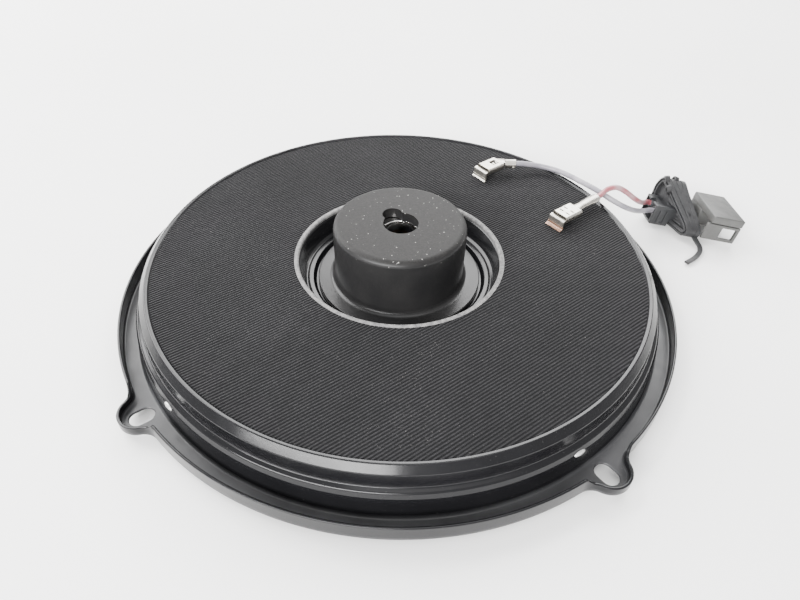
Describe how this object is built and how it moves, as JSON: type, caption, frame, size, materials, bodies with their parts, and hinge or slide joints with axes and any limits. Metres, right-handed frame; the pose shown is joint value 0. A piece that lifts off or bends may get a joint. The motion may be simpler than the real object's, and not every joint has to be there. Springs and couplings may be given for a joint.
{
  "type": "car subwoofer speaker",
  "caption": "Shallow round car subwoofer: black flanged basket with mounting ears, sealed rear cloth, raised motor cup, moving cone and a plug-on wire harness.",
  "frame": {"origin": "centre of the front gasket's face, on the speaker's axis, where the part rests on a table", "axes": "+Z along the speaker's axis towards its rear (the motor); the mounting ears lie on the diagonals between X and Y; the harness leaves towards +X +Y"},
  "size_m": [0.2589, 0.217, 0.0377],
  "materials": {
    "painted_steel": "satin black powder coat",
    "acoustic_cloth": "matt warm black",
    "plated_steel": "matt zinc-plated",
    "magnet_nickel": "bright nickel",
    "soft_iron": "machined",
    "gasket_foam": "matt foam rubber",
    "board": "resin-bonded board",
    "tinned_brass": "tin-plated, satin",
    "aluminium": "satin",
    "rubber": "matt",
    "treated_cotton": "resin-treated",
    "tinsel": "braided copper and cotton",
    "paper_pulp": "matt black",
    "kraft_paper": "plain",
    "copper": "enamelled",
    "wire_grey": "satin insulation",
    "wire_red": "satin insulation",
    "black_plastic": "moulded",
    "grey_plastic": "moulded",
    "seal_rubber": "matt",
    "tie_plastic": "dull"
  },
  "bodies": {
    "frame": {"basket": "painted_steel", "rear_cloth": "acoustic_cloth", "motor_cup": "plated_steel", "magnet": "magnet_nickel", "pole_plate": "soft_iron", "front_gasket": "gasket_foam", "spider_ring": "board", "terminal_plate_a": "board", "terminal_plate_b": "board", "terminal_tab_a": "tinned_brass", "terminal_tab_b": "tinned_brass", "terminal_rivet_a": "aluminium", "terminal_rivet_b": "aluminium", "surround": "rubber", "spider": "treated_cotton", "tinsel_lead_a": "tinsel", "tinsel_lead_b": "tinsel"},
    "cone_assembly": {"cone": "paper_pulp", "dust_cap": "rubber", "cone_skirt": "kraft_paper", "coil_former": "kraft_paper", "voice_coil": "copper"},
    "harness": {"faston_a": "tinned_brass", "faston_b": "tinned_brass", "wire_grey": "wire_grey", "wire_red": "wire_red", "connector_housing": "black_plastic", "connector_shroud": "grey_plastic", "wire_seal_a": "seal_rubber", "wire_seal_b": "seal_rubber", "contact_pin_a": "tinned_brass", "contact_pin_b": "tinned_brass", "tie_wrap": "tie_plastic", "tie_tail": "tie_plastic"},
    "latch": {"connector_latch": "grey_plastic"}
  },
  "joints": [
    {"name": "cone_travel", "type": "slide", "parent": "frame", "child": "cone_assembly", "axis": [0, 0, 1], "range_m": [-0.0035, 0.0035], "stiffness_N_per_m": 2000, "deforming": ["surround", "spider", "tinsel_lead_a", "tinsel_lead_b"]},
    {"name": "harness_unplug", "type": "slide", "parent": "frame", "child": "harness", "axis": [0.7071, 0.7071, 0], "range_m": [0, 0.012]},
    {"name": "latch_flex", "type": "hinge", "parent": "harness", "child": "latch", "pos_m": [0.14192, 0.05877, 0.01056], "axis": [-0.9736, -0.123, 0.1925], "range_deg": [0, 8], "stiffness_Nm_per_rad": 0.05}
  ]
}
